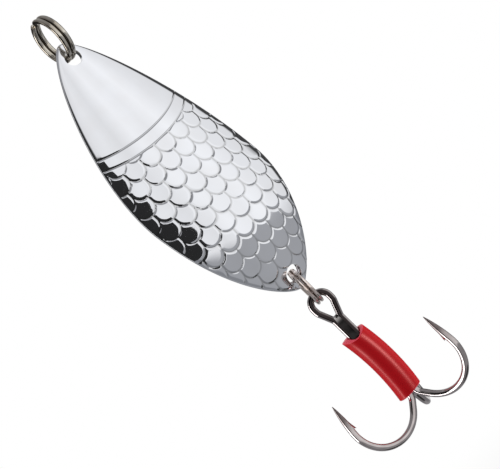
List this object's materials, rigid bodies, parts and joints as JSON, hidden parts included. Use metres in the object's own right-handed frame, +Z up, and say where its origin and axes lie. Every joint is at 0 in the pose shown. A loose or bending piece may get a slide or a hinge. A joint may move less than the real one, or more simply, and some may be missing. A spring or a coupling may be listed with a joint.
{
  "type": "spoon lure",
  "caption": "Leaf-shaped chromed spoon lure stamped with fish scales, hung on split rings, with a barbed treble hook and a soft red sleeve on its shank.",
  "frame": {"origin": "where the line holds the front split ring: the middle of its wire pair at the top", "axes": "+Z up along the hanging lure, from the hook to the line; the scaled, convex face of the spoon looks towards -Y"},
  "size_m": [0.0275, 0.0252, 0.1003],
  "materials": {
    "polished_chrome": "mirror plated",
    "dark_nickel": "dark nickel plated spring wire",
    "bright_nickel": "bright nickel plated spring wire",
    "black_nickel": "black nickel plated hook wire",
    "braze_metal": "dark plated braze",
    "red_sleeve": "soft satin"
  },
  "bodies": {
    "front_ring": {"front_split_ring": "dark_nickel"},
    "blade": {"spoon_blade": "polished_chrome"},
    "rear_ring": {"rear_split_ring": "bright_nickel"},
    "treble": {"double_hook": "black_nickel", "single_hook": "black_nickel", "braze_front": "braze_metal", "braze_left": "braze_metal", "braze_right": "braze_metal"},
    "sleeve": {"hook_sleeve": "red_sleeve"}
  },
  "joints": [
    {"name": "blade_swing", "type": "hinge", "parent": "front_ring", "child": "blade", "pos_m": [0, 0, -0.009], "axis": [0, 1, 0], "range_deg": [-110, 110]},
    {"name": "rear_ring_run", "type": "hinge", "parent": "blade", "child": "rear_ring", "pos_m": [0, -0.00016, -0.06797], "axis": [0.9205, -0.3907, 0], "range_deg": [-120, 63]},
    {"name": "hook_swing", "type": "hinge", "parent": "rear_ring", "child": "treble", "pos_m": [0, -0.00016, -0.07178], "axis": [0.3907, 0.9205, 0], "range_deg": [-100, 100]},
    {"name": "sleeve_slide", "type": "slide", "parent": "treble", "child": "sleeve", "axis": [0, 0, 1], "range_m": [0, 0.0035]}
  ]
}
